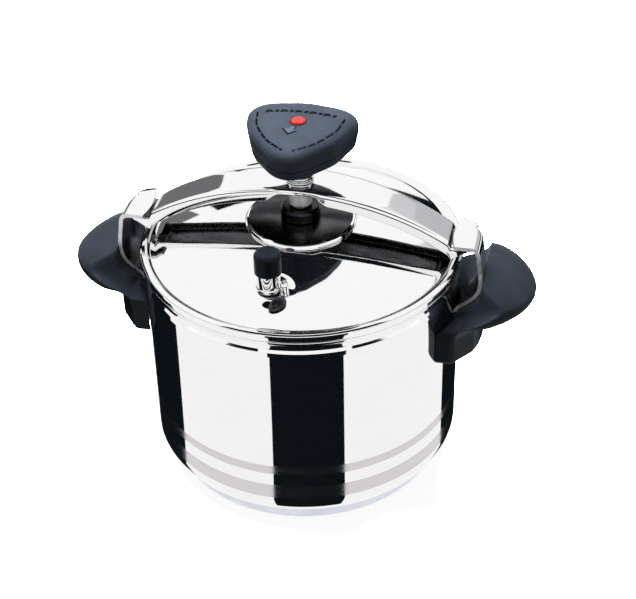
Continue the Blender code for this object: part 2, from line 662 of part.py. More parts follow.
def main():
    clear_scene()
    polished = material("polished_steel", (0.83, 0.83, 0.85), 1.0, 0.06)
    wall = material("pot_steel", (0.82, 0.82, 0.84), 1.0, 0.08)
    base_steel = material("base_steel", (0.62, 0.63, 0.67), 1.0, 0.28)
    fixing = material("fixing_steel", (0.7, 0.7, 0.72), 1.0, 0.22)
    aluminium = material("aluminium", (0.75, 0.76, 0.78), 1.0, 0.4)
    bronze = material("bronze", (0.62, 0.45, 0.22), 1.0, 0.3)
    plastic = material("black_plastic", (0.035, 0.04, 0.055), 0.0, 0.35)
    red = material("red_plastic", (0.78, 0.03, 0.025), 0.0, 0.3)
    rubber = material("black_rubber", (0.03, 0.03, 0.035), 0.0, 0.55)

    pot(wall)
    base(base_steel, aluminium)
    for word, side in (("left", -1), ("right", 1)):
        hook_bracket("hook_bracket_" + word, side, polished)
        handle("handle_" + word, side, plastic)
        handle_screw("handle_screw_" + word, side, fixing)
        handle_washer("handle_washer_" + word, side, fixing)
    lid(polished)
    gasket(rubber)
    lid_plate(polished)
    spindle_seat(fixing)
    spindle(fixing, bronze)
    knob(plastic, fixing)
    indicator(red, fixing, rubber)
    bow(polished)
    bow_bush(fixing)
    working_valve(polished, plastic, rubber)
    safety_valve(polished)
    safety_plug(rubber)


main()
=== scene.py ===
"""Looks for a stovetop pressure cooker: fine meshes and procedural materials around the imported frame.

Metres, +Z up, in the frame's axes: the pot stands on z = 0 and the bow lies along X. Profiles, outlines and the
named sizes are in millimetres.
"""

import json
from math import atan2, cos, hypot, pi, radians, sin, sqrt, tan

import bmesh
import bpy
from mathutils import Matrix, Vector

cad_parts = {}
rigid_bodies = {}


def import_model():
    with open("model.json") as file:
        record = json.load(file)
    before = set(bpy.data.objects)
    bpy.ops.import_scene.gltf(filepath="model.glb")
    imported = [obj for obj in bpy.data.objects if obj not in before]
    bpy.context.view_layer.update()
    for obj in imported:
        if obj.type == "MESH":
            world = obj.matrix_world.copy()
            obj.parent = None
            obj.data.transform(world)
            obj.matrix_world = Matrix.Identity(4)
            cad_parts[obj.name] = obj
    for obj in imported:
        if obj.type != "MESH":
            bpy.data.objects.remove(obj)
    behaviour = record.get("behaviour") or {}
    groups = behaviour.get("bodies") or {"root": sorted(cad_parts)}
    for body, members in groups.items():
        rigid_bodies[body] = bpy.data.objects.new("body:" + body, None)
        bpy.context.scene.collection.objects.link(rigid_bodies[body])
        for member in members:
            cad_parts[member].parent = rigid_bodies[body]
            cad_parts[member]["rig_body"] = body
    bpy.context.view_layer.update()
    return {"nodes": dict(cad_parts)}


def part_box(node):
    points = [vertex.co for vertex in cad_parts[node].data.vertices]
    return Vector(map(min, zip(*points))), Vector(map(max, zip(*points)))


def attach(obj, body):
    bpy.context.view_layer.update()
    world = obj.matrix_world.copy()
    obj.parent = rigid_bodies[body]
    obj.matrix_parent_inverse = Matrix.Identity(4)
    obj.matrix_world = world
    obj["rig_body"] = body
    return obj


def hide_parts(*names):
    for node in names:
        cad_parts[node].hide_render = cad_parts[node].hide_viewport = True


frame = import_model()

MM = 0.001
GAP = 0.3  # clearance between pieces that don't touch
LARGE_ROUND, ROUND, SMALL_ROUND = 256, 192, 72  # steps round a turned piece

# ---------------------------------------------------------------- materials


class Look:
    """A Principled material whose nodes read the piece's own coordinates."""

    def __init__(self, name, colour, metallic, roughness):
        self.material = bpy.data.materials.new("look_" + name)
        self.material.use_nodes = True
        self.nodes = self.material.node_tree.nodes
        self.links = self.material.node_tree.links
        self.shader = self.nodes["Principled BSDF"]
        self.shader.inputs["Metallic"].default_value = metallic
        self.shader.inputs["Roughness"].default_value = roughness
        self.shader.inputs["Base Color"].default_value = (*colour, 1)
        self.material.diffuse_color = (*colour, 1)
        self.place = self.add("TexCoord").outputs["Object"]
        self.height = None

    def add(self, kind, **values):
        node = self.nodes.new("ShaderNode" + kind)
        for key, value in values.items():
            if key in node.inputs:
                node.inputs[key].default_value = value
            else:
                setattr(node, key, value)
        return node

    def stretched(self, x, y, z):
        """The piece's coordinates, scaled by these factors."""
        node = self.add("Mapping")
        node.inputs["Scale"].default_value = (x, y, z)
        self.links.new(self.place, node.inputs["Vector"])
        return node.outputs["Vector"]

    def noise(self, scale, detail=3.0, vector=None, roughness=0.5):
        node = self.add("TexNoise", Scale=scale, Detail=detail, Roughness=roughness)
        self.links.new(vector or self.place, node.inputs["Vector"])
        return node.outputs["Fac"]

    def ramp(self, source, *stops):
        """stops are (position, value); the value is a number or a colour."""
        node = self.add("ValToRGB")
        elements = node.color_ramp.elements
        while len(elements) < len(stops):
            elements.new(0.5)
        for element, (position, value) in zip(elements, stops):
            element.position = position
            element.color = (*value, 1) if isinstance(value, tuple) else (value, value, value, 1)
        self.links.new(source, node.inputs["Fac"])
        return node.outputs["Color"]

    def maths(self, operation, a, b=None):
        node = self.add("Math", operation=operation)
        for socket, value in zip(node.inputs, (a, b)):
            if value is None:
                continue
            if isinstance(value, (int, float)):
                socket.default_value = value
            else:
                self.links.new(value, socket)
        return node.outputs["Value"]

    def between(self, share, a, b):
        """Colour a where share is 0 and b where it is 1. Both may be colours or sockets."""
        node = self.add("Mix", data_type="RGBA")
        self.links.new(share, node.inputs[0])
        for socket, value in ((node.inputs[6], a), (node.inputs[7], b)):
            if isinstance(value, tuple):
                socket.default_value = (*value, 1)
            else:
                self.links.new(value, socket)
        return node.outputs[2]

    def to_shader(self, socket, name):
        self.links.new(socket, self.shader.inputs[name])

    def raise_by(self, height, distance, strength=1.0):
        """Bump from a height socket; further calls add on top."""
        node = self.add("Bump", Strength=strength, Distance=distance)
        self.links.new(height, node.inputs["Height"])
        if self.height is not None:
            self.links.new(self.height, node.inputs["Normal"])
        self.height = node.outputs["Normal"]
        self.links.new(self.height, self.shader.inputs["Normal"])

    def coordinate(self, axis):
        node = self.add("SeparateXYZ")
        self.links.new(self.place, node.inputs["Vector"])
        return node.outputs[axis]

    def radius(self):
        """Distance from the cooker's axis."""
        node = self.add("VectorMath", operation="LENGTH")
        self.links.new(self.stretched(1, 1, 0), node.inputs[0])
        return node.outputs["Value"]


def polished(name, colour, low=0.025, high=0.075, waviness=0.00004):
    """Mirror-polished sheet steel: faint wipe marks, hairlines and a slight pressing wave."""
    look = Look(name, colour, 1.0, low)
    smears = look.noise(28, 4, look.stretched(1, 1, 2.5), 0.6)
    hair = look.noise(420, 3, look.stretched(0.08, 1, 1), 0.7)
    wipes = look.ramp(smears, (0.35, low), (0.75, high))
    look.to_shader(wipes, "Roughness")
    darker = tuple(c * 0.965 for c in colour)
    look.to_shader(look.between(look.ramp(smears, (0.3, 0.0), (0.8, 1.0)), colour, darker), "Base Color")
    look.raise_by(hair, 0.000004)
    look.raise_by(look.noise(16, 1), waviness)
    return look


def polished_steel():
    return polished("polished_steel", (0.90, 0.895, 0.90)).material


POT_R = 112.0
SATIN_BANDS = ((27.7, 39.6), (50.0, 57.3))  # heights from and to


def pot_steel():
    """The pot's polished wall with its two satin bands, whose fine lines run round it."""
    look = polished("pot_steel", (0.90, 0.895, 0.90), 0.02, 0.05, 0.00003)
    z = look.coordinate("Z")
    band = None
    for low, high in SATIN_BANDS:
        above, below = look.maths("GREATER_THAN", z, low * MM), look.maths("LESS_THAN", z, high * MM)
        inside = look.maths("MULTIPLY", above, below)
        band = inside if band is None else look.maths("ADD", band, inside)
    outside = look.maths("GREATER_THAN", look.radius(), (POT_R - 0.5) * MM)
    band = look.maths("MULTIPLY", band, outside)
    lines = look.noise(60, 2, look.stretched(0.4, 0.4, 55), 0.6)
    plain_colour = look.shader.inputs["Base Color"].links[0].from_socket
    plain_rough = look.shader.inputs["Roughness"].links[0].from_socket
    satin_colour = look.ramp(lines, (0.3, (0.60, 0.575, 0.585)), (0.7, (0.68, 0.655, 0.66)))
    satin_rough = look.ramp(lines, (0.3, 0.11), (0.7, 0.17))
    look.to_shader(look.between(band, plain_colour, satin_colour), "Base Color")
    look.to_shader(look.between(band, plain_rough, satin_rough), "Roughness")
    look.raise_by(look.maths("MULTIPLY", lines, band), 0.000006)
    return look.material


def base_steel():
    """Spun steel: fine rings about the axis and a satin sheen."""
    look = Look("base_steel", (0.66, 0.68, 0.74), 1.0, 0.2)
    rings = look.noise(1400, 2)
    rings = look.maths("SINE", look.maths("ADD", look.maths("MULTIPLY", look.radius(), 5200), rings))
    stains = look.noise(35, 4)
    look.to_shader(look.ramp(stains, (0.3, (0.60, 0.625, 0.69)), (0.7, (0.74, 0.76, 0.82))), "Base Color")
    look.to_shader(look.ramp(stains, (0.3, 0.16), (0.7, 0.3)), "Roughness")
    look.raise_by(rings, 0.000012)
    return look.material


def painted_shade_steel():
    """Steel painted near black as painted shade and painted dark reflection, a little rough, with soft light
    streaks that are a painted reflection.
    """
    look = Look("painted_shade_steel", (0.05, 0.05, 0.055), 1.0, 0.25)
    streaks = look.noise(30, 4, look.stretched(0.3, 1.4, 1.0), 0.6)
    dark, light = (0.012, 0.013, 0.015), (0.16, 0.16, 0.17)
    look.to_shader(look.ramp(streaks, (0.42, dark), (0.72, light)), "Base Color")
    look.to_shader(look.ramp(streaks, (0.3, 0.16), (0.8, 0.34)), "Roughness")
    look.raise_by(streaks, 0.00002)
    return look.material


def turned_metal(name, colour, rough):
    """Lathe-turned metal: fine lines along the height, a little duller where it has been handled."""
    look = Look(name, colour, 1.0, rough)
    lines = look.noise(55, 2, look.stretched(1, 1, 60), 0.65)
    wear = look.noise(90, 4)
    look.to_shader(look.ramp(wear, (0.3, rough * 0.6), (0.75, rough * 1.5)), "Roughness")
    light = tuple(min(c * 1.06, 1) for c in colour)
    dull = tuple(c * 0.85 for c in colour)
    look.to_shader(look.ramp(wear, (0.3, light), (0.8, dull)), "Base Color")
    look.raise_by(lines, 0.00001)
    return look.material


def black_plastic(name="black_plastic", shade=1.0, rough=0.36):
    """Moulded phenolic: a fine spark-eroded grain, a soft sheen and a shade of blue."""
    # shade scales the colour: below 1 it gives a darker copy of the same plastic as painted shade (handles,
    # valve cap); for the marks it sets their tone.
    look = Look(name, (0.010, 0.013, 0.018), 0.0, rough)
    cloud = look.noise(42, 3)
    dark = tuple(c * shade for c in (0.0082, 0.0104, 0.0145))
    light = tuple(c * shade for c in (0.0125, 0.0158, 0.0215))
    look.to_shader(look.ramp(cloud, (0.3, dark), (0.75, light)), "Base Color")
    look.to_shader(look.ramp(look.noise(160, 3), (0.3, rough - 0.05), (0.75, rough + 0.07)), "Roughness")
    look.shader.inputs["Specular IOR Level"].default_value = 0.06
    look.shader.inputs["Specular Tint"].default_value = (0.80, 0.92, 1.0, 1)
    look.raise_by(look.noise(1700, 4, None, 0.7), 0.00004)
    return look.material


def red_plastic():
    look = Look("red_plastic", (0.10, 0.004, 0.003), 0.0, 0.28)
    cloud = look.noise(220, 3)
    dark, light = (0.085, 0.003, 0.0025), (0.11, 0.005, 0.004)
    look.to_shader(look.ramp(cloud, (0.3, dark), (0.75, light)), "Base Color")
    look.to_shader(look.ramp(look.noise(500, 3), (0.3, 0.2), (0.75, 0.36)), "Roughness")
    look.raise_by(look.noise(2600, 3), 0.00002)
    return look.material


def black_rubber(name="black_rubber", rough=0.3):
    """Silicone: smooth with a slight bloom."""
    look = Look(name, (0.005, 0.005, 0.006), 0.0, rough)
    cloud = look.noise(170, 4)
    dark, light = (0.0028, 0.0030, 0.0038), (0.007, 0.0075, 0.009)
    look.to_shader(look.ramp(cloud, (0.3, dark), (0.8, light)), "Base Color")
    look.to_shader(look.ramp(cloud, (0.3, rough * 0.6), (0.8, rough * 1.5)), "Roughness")
    look.raise_by(look.noise(1300, 3), 0.00002)
    return look.material


LOOKS = {
    "polished_steel": polished_steel(),
    "pot_steel": pot_steel(),
    "base_steel": base_steel(),
    "fixing_steel": turned_metal("fixing_steel", (0.78, 0.78, 0.79), 0.14),
    "aluminium": turned_metal("aluminium", (0.75, 0.76, 0.78), 0.38),
    "bronze": turned_metal("bronze", (0.20, 0.15, 0.09), 0.34),
    "cut_edge": turned_metal("cut_edge", (0.86, 0.86, 0.88), 0.5),
    "black_plastic": black_plastic(),
    # the handles' plastic: a darker copy as painted shade
    "handle_plastic_shaded": black_plastic("handle_plastic_shaded", 0.48, 0.34),
    # the valve cap's plastic: a darker copy as painted shade
    "cap_plastic_shaded": black_plastic("cap_plastic_shaded", 0.3, 0.3),
    "red_plastic": red_plastic(),
    "black_rubber": black_rubber(),
    "plug_rubber": black_rubber("plug_rubber", 0.12),
    # painted shade and painted dark reflection for steel faces in shadow
    "painted_shade_steel": painted_shade_steel(),
    "mark_black": black_plastic("mark_black", 0.1, 0.6),
    "mark_grey": black_plastic("mark_grey", 1.9, 0.5),
}

# ---------------------------------------------------------------- mesh helpers


SHARP_ANGLE = radians(38)


def body_of(node):
    return frame["nodes"][node]["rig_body"]


def middle_of(node):
    """Plan position of the middle of a node's box, in metres, with its lowest height."""
    low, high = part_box(node)
    return (low.x + high.x) / 2, (low.y + high.y) / 2, low.z


def piece(node, points, faces, slot, origin=(0, 0, 0), turn=0.0, suffix="_fine", replace=True, look=None):
    """A fine mesh that rides with the node's body; its look is the slot's own if none is given."""
    mesh = bpy.data.meshes.new(node + suffix)
    mesh.from_pydata(points, [], faces)
    shape = bmesh.new()
    shape.from_mesh(mesh)
    bmesh.ops.remove_doubles(shape, verts=shape.verts, dist=1e-7)
    bmesh.ops.recalc_face_normals(shape, faces=shape.faces)
    for face in shape.faces:
        face.smooth = True
    for edge in shape.edges:
        edge.smooth = len(edge.link_faces) == 2 and edge.calc_face_angle(0) < SHARP_ANGLE
    shape.to_mesh(mesh)
    shape.free()
    obj = bpy.data.objects.new(node + suffix, mesh)
    bpy.context.scene.collection.objects.link(obj)
    obj.location = origin
    obj.rotation_euler = (0, 0, turn)
    mesh.materials.append(LOOKS[look or slot])
    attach(obj, body_of(node))
    if replace:
        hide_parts(node)
    return obj


def joined_rings(rings, loop=False):
    """Points and faces that join each ring to the next. A ring of one point is a pole; open ends get caps."""
    points, starts = [], []
    for ring in rings:
        starts.append(len(points))
        points += ring
    pairs = list(zip(range(len(rings)), range(1, len(rings))))
    if loop:
        pairs.append((len(rings) - 1, 0))
    faces = []
    for low, high in pairs:
        a, b = starts[low], starts[high]
        size_a, size_b = len(rings[low]), len(rings[high])
        size = max(size_a, size_b)
        for i in range(size):
            j = (i + 1) % size
            if size_a == 1:
                faces.append((a, b + i, b + j))
            elif size_b == 1:
                faces.append((a + i, a + j, b))
            else:
                faces.append((a + i, a + j, b + j, b + i))
    if not loop:
        for index in (0, -1):
            if len(rings[index]) > 1:
                faces.append(tuple(starts[index] + i for i in range(len(rings[index]))))
    return points, faces


def rounded(profile, loop=False, steps=5):
    """Corners (a, b, fillet) joined by straight lines. A corner that has a fillet becomes a short curve."""
    done = []
    count = len(profile)
    for i, (a, b, *fillet) in enumerate(profile):
        if not fillet or not fillet[0] or (not loop and i in (0, count - 1)):
            done.append((a, b))
            continue
        here = Vector((a, b))
        back = Vector(profile[i - 1][:2]) - here
        on = Vector(profile[(i + 1) % count][:2]) - here
        half = max(back.angle(on) / 2, 0.05)
        reach = min(fillet[0] / tan(half), 0.49 * back.length, 0.49 * on.length)
        start, end = here + back.normalized() * reach, here + on.normalized() * reach
        for k in range(steps + 1):
            t = k / steps
            done.append(tuple((1 - t) ** 2 * start + 2 * t * (1 - t) * here + t * t * end))
    return done


def supported(profile, loop=False, longest=4.0, edge=0.5):
    """The profile with an extra point near each end of its long straight runs, so that they shade flat."""
    done = []
    count = len(profile)
    for i, (a, b) in enumerate(profile):
        done.append((a, b))
        if i == count - 1 and not loop:
            break
        c, d = profile[(i + 1) % count]
        length = hypot(c - a, d - b)
        if length > longest:
            for share in (edge / length, 1 - edge / length):
                done.append((a + share * (c - a), b + share * (d - b)))
    return done


def circle(radius, z, steps):
    if radius < 1e-7:
        return [(0, 0, z)]
    return [(radius * cos(2 * pi * i / steps), radius * sin(2 * pi * i / steps), z) for i in range(steps)]


def turned(node, profile, slot, loop=True, steps=SMALL_ROUND, on_axis=False, look=None):
    """A body turned about its node's middle, or the cooker's axis; heights are from the node's lowest point."""
    x, y, z = middle_of(node)
    line = supported(rounded(profile, loop), loop)
    points, faces = joined_rings([circle(r * MM, h * MM, steps) for r, h in line], loop)
    return piece(node, points, faces, slot, origin=(0, 0, z) if on_axis else (x, y, z), look=look)


def tool_mesh(name, points, faces):
    mesh = bpy.data.meshes.new(name)
    mesh.from_pydata(points, [], faces)
    shape = bmesh.new()
    shape.from_mesh(mesh)
    bmesh.ops.recalc_face_normals(shape, faces=shape.faces)
    shape.to_mesh(mesh)
    shape.free()
    obj = bpy.data.objects.new(name, mesh)
    bpy.context.scene.collection.objects.link(obj)
    return obj


def boolean(obj, tool, operation="DIFFERENCE"):
    """Applies the Boolean at once and removes its tool."""
    change = obj.modifiers.new("cut", "BOOLEAN")
    change.operation = operation
    change.solver = "EXACT"
    change.object = tool
    settle(obj)
    bpy.data.objects.remove(tool)


def settle(obj):
    """Makes the object's modifiers part of its mesh."""
    graph = bpy.context.evaluated_depsgraph_get()
    graph.update()
    mesh = bpy.data.meshes.new_from_object(obj.evaluated_get(graph))
    obj.modifiers.clear()
    obj.data = mesh


def paint(obj, look, is_painted):
    """Gives the look to the faces for which is_painted(centre in millimetres, normal) holds."""
    obj.data.materials.append(LOOKS[look])
    for polygon in obj.data.polygons:
        if is_painted(polygon.center / MM, polygon.normal):
            polygon.material_index = len(obj.data.materials) - 1


def smoothstep(value):
    value = min(max(value, 0), 1)
    return value * value * (3 - 2 * value)


def curve_through(points, steps):
    """A smooth curve through the points, as tuples of any length, with steps points in each stretch."""

    def blend(a, b, c, d, t):
        bend, twist = 2 * a - 5 * b + 4 * c - d, 3 * b - a - 3 * c + d
        return 0.5 * (2 * b + (c - a) * t + bend * t * t + twist * t**3)

    ends = [points[0]] + list(points) + [points[-1]]
    done = []
    for stretch in zip(ends, ends[1:], ends[2:], ends[3:]):
        for k in range(steps):
            done.append(tuple(blend(*values, k / steps) for values in zip(*stretch)))
    return done + [tuple(points[-1])]


# ---------------------------------------------------------------- pot


def pot():
    """Drawn steel pot: flat floor, large corner, neck below the rim, rolled rim."""
    low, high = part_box("pot_body")
    rim, floor = high.z / MM, low.z / MM
    wall, corner, sheet = POT_R, 18.0, 1.0
    flat = wall - corner

    def arc(radius, base, steps, down):
        for i in range(steps + 1):
            a = pi / 2 * (1 - i / steps if down else i / steps)
            yield flat + radius * sin(a), base + radius * (1 - cos(a))

    outside = [(0, floor), (60, floor), (90, floor)] + list(arc(corner, floor, 18, False))
    neck = [(wall, rim - 14.4, 2), (111.6, rim - 11.2, 1.5), (110.6, rim - 8.9, 1.2), (110.6, rim - 5.2, 0.8)]
    edge = [(112.6, rim - 3.9, 0.9), (113.4, rim - 2.6, 0.8), (113.4, rim - 1.0, 0.7), (112.4, rim, 0.8)]
    lip = [(110.6, rim - 0.3, 0.8), (109.5, rim - 1.9, 0.6), (109.5, rim - 7.9, 1), (110.6, rim - 11.2, 1.5)]
    inside = [(wall - sheet, rim - 14.0, 2)] + list(arc(corner - sheet, floor + sheet, 14, True))
    profile = outside + neck + edge + lip + inside + [(60, floor + sheet), (0, floor + sheet)]
    rings = [circle(r * MM, z * MM, LARGE_ROUND) for r, z in supported(rounded(profile))]
    piece("pot_body", *joined_rings(rings), "pot_steel")


def base():
    """Cap over the base's disc: flat underside, rounded edge, upright lip."""
    cap = [(0, 0), (60, 0), (97.4, 0, 3), (99.9, 0.5, 1.4), (101, 2.5, 1.5), (101, 8.2, 0.3), (100.2, 8.2, 0.3)]
    cap += [(100.2, 2.6, 1.5), (98.2, 0.8, 1.5), (60, 0.8), (0, 0.8)]
    turned("base_cap", cap, "base_steel", loop=False, steps=LARGE_ROUND, on_axis=True)


# Centre line of the hook bracket from its hooked edge down to the pot wall, as (distance from axis, height)
HOOK_LINE = [(114.5, 190.4), (120.9, 190.4), (123.9, 189.9), (125.9, 188.3), (126.9, 185.6), (127.6, 180)]
HOOK_LINE += [(128.5, 174), (129.2, 167.5), (129.2, 162), (128.3, 157), (126.1, 152.3), (122.6, 147.9)]
HOOK_LINE += [(118.4, 144), (115.3, 140.9), (114.0, 138), (113.7, 134.5), (113.7, 123), (113.7, 112.5)]
HOOK_T, HOOK_FRONT_Y, HOOK_BACK_Y = 2.8, -17.5, 8.5
WRAP_FULL_Z, WRAP_NONE_Z = 138.0, 152.0

# The hook's plate in plan, as (distance from axis, y): rounded at the back corner, cut square at the front
HOOK_PLATE_BACK = [(121.5, 8.0), (123.6, 13.2), (121.4, 16.6), (118.2, 19.2), (114.4, 20.9), (110.9, 21.4)]
HOOK_PLATE_EDGE = [(110.9, 21.2), (109.0, 9.1), (107.9, 0), (108.5, -9), (110.4, -17.45)]
HOOK_CORNER_X, HOOK_CORNER_R, HOOK_CORNER_Y = 110.0, 18.0, 21.4
# The plate's levels: height, inset of its rounded side
HOOK_PLATE_LEVELS = [(189.0, 0.5), (189.3, 0.15), (189.7, 0), (190.2, 0.1), (190.7, 0.4), (191.1, 0.8)]
HOOK_PLATE_LEVELS += [(191.4, 1.2), (191.65, 1.7), (191.8, 2.3)]


def wrapped(x, y, z):
    """x moved in so that what lies on the pot wall follows its curve, fading out above the wall's contact."""
    share = 1 - smoothstep((z - WRAP_FULL_Z) / (WRAP_NONE_Z - WRAP_FULL_Z))
    return x - share * (POT_R - sqrt(POT_R**2 - y**2))


def offset_line(line, distance):
    """The line moved sideways, positive away from the pot."""
    moved = []
    for i, (x, z) in enumerate(line):
        x0, z0 = line[max(i - 1, 0)]
        x1, z1 = line[min(i + 1, len(line) - 1)]
        length = hypot(x1 - x0, z1 - z0)
        moved.append((x - distance * (z1 - z0) / length, z + distance * (x1 - x0) / length))
    return moved


def spread(low, high, count):
    return [low + (high - low) * i / (count - 1) for i in range(count)]


def side_loft(outline, widths, side):
    """An outline of (distance from axis, height) carried across Y and wrapped on the pot wall."""
    rings = [[(side * wrapped(x, y, z) * MM, y * MM, z * MM) for x, z in outline] for y in widths]
    return joined_rings(rings)


SIDES = (("left", -1), ("right", 1))
SCREW_Z, SCREW_R = 123.0, 2.4


def corner_step(y, z):
    """How far the bracket's wall steps in towards its rounded back corner; none behind the handle."""
    if y <= 0:
        return 0
    return smoothstep((z - 150) / 15) * HOOK_CORNER_R * (1 - sqrt(1 - (y / HOOK_CORNER_Y) ** 2))


def hook_bracket(word, side):
    """Pressed strap of steel: an open front, and a hook whose bent edge runs on round the back corner."""
    smooth_line = curve_through(HOOK_LINE, 5)
    outline = offset_line(smooth_line, HOOK_T / 2) + offset_line(smooth_line, -HOOK_T / 2)[::-1]

    def strap_ring(y):
        return [(side * (wrapped(x, y, z) - corner_step(y, z)) * MM, y * MM, z * MM) for x, z in outline]

    rings = [strap_ring(y) for y in spread(HOOK_FRONT_Y, HOOK_BACK_Y, 33)]
    obj = piece("hook_bracket_" + word, *joined_rings(rings), "polished_steel")

    back = curve_through(HOOK_PLATE_BACK, 6)
    edge = curve_through(HOOK_PLATE_EDGE, 6) + [(121.5, HOOK_FRONT_Y + 0.05)]
    rings = []
    for z, inset in HOOK_PLATE_LEVELS:
        ring = []
        for x, y in back:
            keep = 1 - inset / hypot(x - HOOK_CORNER_X, y)
            ring.append((side * (HOOK_CORNER_X + (x - HOOK_CORNER_X) * keep) * MM, y * keep * MM, z * MM))
        rings.append(ring + [(side * x * MM, y * MM, z * MM) for x, y in edge])
    boolean(obj, tool_mesh("hook_plate", *joined_rings(rings)), "UNION")
    boolean(obj, screw_tool(side, SCREW_R + GAP, 100, 127))

    # Painted shade: the faces towards the pot and under the hook are painted dark where shade falls.
    def inside(at, normal):
        return normal.x * side < -0.35 and at.z > 138 or normal.z < -0.5 and at.z > 180

    paint(obj, "painted_shade_steel", inside)
    paint(obj, "cut_edge", lambda at, normal: normal.y < -0.9)
    obj.data.set_sharp_from_angle(angle=radians(30))
    bevel = obj.modifiers.new("broken edges", "BEVEL")
    bevel.width = 0.35 * MM
    bevel.segments = 3
    bevel.limit_method = "ANGLE"
    bevel.angle_limit = radians(50)


def screw_tool(side, radius, low, high):
    """A rod for cutting a hole at the handle's screw, from low to high as distances from the axis."""
    tool = tool_mesh("screw_tool", *joined_rings([circle(radius * MM, z * MM, 32) for z in (low, high)]))
    tool.rotation_euler = (0, side * pi / 2, 0)
    tool.location = (0, 0, SCREW_Z * MM)
    return tool


# Wing sections: distance from axis, half-width, top, underside. The first two lie inside the leg's shoulder.
WING = [
    (98, 43.0, 152.0, 122.0), (112, 44.4, 159.0, 126.5), (124, 44.9, 165.2, 133.1),
    (131, 45.6, 164.6, 135.2), (136, 45.2, 163.8, 136.7), (142, 42.6, 162.2, 138.6),
    (148, 38.5, 160.3, 140.5), (153, 33.7, 158.4, 142.1), (158, 27.4, 156.2, 143.6),
    (162, 20.4, 154.2, 145.1), (165, 12.5, 152.5, 146.7), (166.6, 5.3, 151.2, 147.8),
]
# Leg sections: height, inset of the whole outline
LEG = [(110.0, 3.2), (110.9, 1.2), (112.6, 0.2), (115.5, 0)]
LEG += [(130, -0.4), (135, -2.2), (139, -4.4), (147, -4.4)]
# Half of the leg's outline in plan, as (distance from axis, y)
LEG_PLAN = [(92, 44.7), (113.7, 44.7), (115.8, 43.4), (127.6, 28.2), (130.4, 20), (131.7, 10), (132, 0)]
LEG_HALF_W = 44.7
WING_POINTS, WING_POWER = 96, 2.7
SLOPE_FOOT_X, SLOPE_FOOT_Z, SLOPE_BLEND = 115.0, 137.7, 5.0


def under_slope(x, y, z):
    """z, lowered in front of the bracket, where the handle's top slopes down to the pot wall."""
    slope = 2.0 - 1.42 * smoothstep((-y - 16) / 24)
    above = z - (SLOPE_FOOT_Z + slope * max(x - SLOPE_FOOT_X, 0))
    if above < -SLOPE_BLEND:
        return z
    lowered = above if above > SLOPE_BLEND else (above + SLOPE_BLEND) ** 2 / (4 * SLOPE_BLEND)
    return z - lowered * smoothstep((-y - 14) / 10)


def signed_power(value, power):
    return abs(value) ** power * (1 if value >= 0 else -1)


def wing_ring(x, half_width, top, under, side):
    middle, half = (top + under) / 2, (top - under) / 2
    ring = []
    for i in range(WING_POINTS):
        a = 2 * pi * i / WING_POINTS
        y = half_width * signed_power(cos(a), 2 / WING_POWER)
        z = middle + half * signed_power(sin(a), 2 / WING_POWER)
        ring.append((side * x * MM, y * MM, under_slope(x, y, z) * MM))
    return ring


def leg_ring(z, inset, side):
    plan = LEG_PLAN + [(x, -y) for x, y in LEG_PLAN[-2::-1]]
    ring = []
    for x, y in plan:
        x -= inset * max(x - 100, 0) / 30
        y *= 1 - max(inset, -0.4) / LEG_HALF_W
        ring.append((side * x * MM, y * MM, under_slope(x, y, z) * MM))
    return ring


def handle(word, side):
    """Moulded wing and faceted leg, melted together by a remesh and cut to fit wall, strap and screw."""
    wing = joined_rings([wing_ring(*section, side) for section in curve_through(WING, 5)])
    obj = piece("handle_" + word, *wing, "black_plastic")
    leg = joined_rings([leg_ring(*section, side) for section in curve_through(LEG, 4)])
    boolean(obj, tool_mesh("leg_tool", *leg), "UNION")
    remesh = obj.modifiers.new("melt", "REMESH")
    remesh.mode = "VOXEL"
    remesh.voxel_size = 0.7 * MM
    remesh.use_smooth_shade = True
    soften = obj.modifiers.new("soften", "SMOOTH")
    soften.factor = 0.5
    soften.iterations = 9
    settle(obj)

    strap_face = offset_line(curve_through(HOOK_LINE, 3), HOOK_T / 2 + GAP)
    low_x, low_z, top_z, back_x = POT_R + 0.45, 95, 190, 80
    room = [p for p in strap_face if 138.5 < p[1] < 170]
    room = [(room[0][0], top_z)] + room + [(low_x, 136), (low_x, low_z), (back_x, low_z), (back_x, top_z)]
    boolean(obj, tool_mesh("wall_room", *side_loft(room, spread(-50, 50, 81), side)))
    slot = [p for p in strap_face if 112 < p[1] < 147]
    slot = slot[:-1] + [(slot[-1][0], 112.1), (100, 112.1), (100, slot[0][1])]
    widths = spread(HOOK_FRONT_Y - GAP, HOOK_BACK_Y + GAP, 25)
    boolean(obj, tool_mesh("strap_pocket", *side_loft(slot, widths, side)))
    boolean(obj, screw_tool(side, SCREW_R + GAP, 100, 140))
    boolean(obj, screw_tool(side, 6.0, 124, 140))
    for polygon in obj.data.polygons:
        polygon.use_smooth = True
    obj.data.set_sharp_from_angle(angle=radians(42))
    obj.data.materials.clear()
    # the darker copy of the plastic: painted shade
    obj.data.materials.append(LOOKS["handle_plastic_shaded"])


# ---------------------------------------------------------------- lid

LID_TOP, LID_FALL, LID_T = 192.7, 1 / 564, 1.2
PAD_X, PAD_Y, PAD_FLAT_R, PAD_BLEND_R = -2.5, -76.3, 8.5, 15.5


def lid_height(x, y):
    """Height of the lid's upper face: the dome, pressed flat at the valves."""
    dome = LID_TOP - LID_FALL * (x * x + y * y)
    flat = LID_TOP - LID_FALL * (PAD_X**2 + PAD_Y**2)
    away = hypot(x - PAD_X, y - PAD_Y)
    share = 1 - smoothstep((away - PAD_FLAT_R) / (PAD_BLEND_R - PAD_FLAT_R))
    return dome + share * (flat - dome)


def hole_tool(node, radius, steps=48):
    """A rod through the lid at the middle of a node."""
    tool = tool_mesh("hole_tool", *joined_rings([circle(radius * MM, z * MM, steps) for z in (160, 200)]))
    tool.location = (*middle_of(node)[:2], 0)
    return tool


